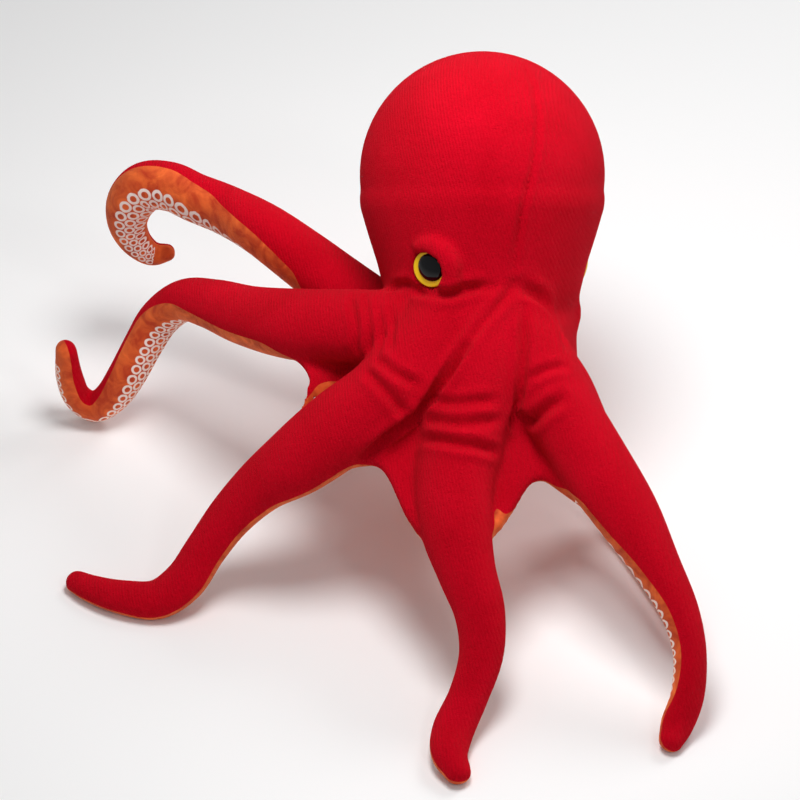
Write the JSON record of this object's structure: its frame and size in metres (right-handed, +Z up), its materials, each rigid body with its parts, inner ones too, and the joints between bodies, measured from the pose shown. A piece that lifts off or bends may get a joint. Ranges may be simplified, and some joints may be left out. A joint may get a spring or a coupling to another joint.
{
  "type": "stuffed plush octopus",
  "caption": "Stuffed plush octopus toy with a round leaning head, domed plastic eyes and long curling arms, plush on top and printed velour underneath, standing on its arms.",
  "frame": {"origin": "centre of the whole toy's outline on the surface that it stands on", "axes": "+Z up, -Y the way the middle of the body faces, with the head leaning back towards +Y and the face turned a little towards +X"},
  "size_m": [0.4274, 0.5241, 0.2865],
  "materials": {
    "red_plush": "short-pile plush",
    "orange_velour": "smooth velour printed with pale sucker rings",
    "eye_yellow": "polished",
    "eye_black": "polished",
    "washer_plastic": "moulded"
  },
  "bodies": {
    "body": {"head_left_panel": "red_plush", "head_right_panel": "red_plush", "body_cover": "red_plush", "belly_panel": "orange_velour", "right_eye": "eye_yellow", "right_pupil": "eye_black", "right_eye_washer": "washer_plastic", "right_eyelid": "red_plush", "left_eye": "eye_yellow", "left_pupil": "eye_black", "left_eye_washer": "washer_plastic", "left_eyelid": "red_plush"},
    "front_right_arm": {"front_right_arm_cover": "red_plush", "front_right_arm_underside": "orange_velour"},
    "side_right_arm": {"side_right_arm_cover": "red_plush", "side_right_arm_underside": "orange_velour"},
    "rear_right_arm": {"rear_right_arm_cover": "red_plush", "rear_right_arm_underside": "orange_velour"},
    "back_right_arm": {"back_right_arm_cover": "red_plush", "back_right_arm_underside": "orange_velour"},
    "front_left_arm": {"front_left_arm_cover": "red_plush", "front_left_arm_underside": "orange_velour"},
    "side_left_arm": {"side_left_arm_cover": "red_plush", "side_left_arm_underside": "orange_velour"},
    "rear_left_arm": {"rear_left_arm_cover": "red_plush", "rear_left_arm_underside": "orange_velour"},
    "back_left_arm": {"back_left_arm_cover": "red_plush", "back_left_arm_underside": "orange_velour"}
  },
  "joints": [
    {"name": "front_right_arm_lift", "type": "hinge", "parent": "body", "child": "front_right_arm", "pos_m": [0.055, -0.0968, 0.104], "axis": [-0.9952, 0.0981, 0], "range_deg": [-12, 30], "stiffness_Nm_per_rad": 2},
    {"name": "side_right_arm_lift", "type": "hinge", "parent": "body", "child": "side_right_arm", "pos_m": [-0.016, -0.0568, 0.114], "axis": [-0.3007, 0.9537, 0], "range_deg": [-12, 30], "stiffness_Nm_per_rad": 2},
    {"name": "rear_right_arm_lift", "type": "hinge", "parent": "body", "child": "rear_right_arm", "pos_m": [-0.044, 0.0242, 0.132], "axis": [0.4793, 0.8776, 0], "range_deg": [-12, 30], "stiffness_Nm_per_rad": 2},
    {"name": "back_right_arm_lift", "type": "hinge", "parent": "body", "child": "back_right_arm", "pos_m": [-0.023, 0.0772, 0.126], "axis": [0.5714, 0.8206, 0], "range_deg": [-14, 26], "stiffness_Nm_per_rad": 2},
    {"name": "front_left_arm_lift", "type": "hinge", "parent": "body", "child": "front_left_arm", "pos_m": [0.142, -0.0868, 0.11], "axis": [-0.8207, -0.5714, 0], "range_deg": [-12, 30], "stiffness_Nm_per_rad": 2},
    {"name": "side_left_arm_sweep", "type": "hinge", "parent": "body", "child": "side_left_arm", "pos_m": [0.137, -0.0218, 0.09], "axis": [0, 0, 1], "range_deg": [0, 40], "stiffness_Nm_per_rad": 2},
    {"name": "rear_left_arm_lift", "type": "hinge", "parent": "body", "child": "rear_left_arm", "pos_m": [0.113, 0.0832, 0.082], "axis": [0.9929, -0.1188, 0], "range_deg": [-12, 22], "stiffness_Nm_per_rad": 2},
    {"name": "back_left_arm_lift", "type": "hinge", "parent": "body", "child": "back_left_arm", "pos_m": [0.047, 0.0882, 0.082], "axis": [0.9951, 0.0991, 0], "range_deg": [-12, 22], "stiffness_Nm_per_rad": 2}
  ]
}
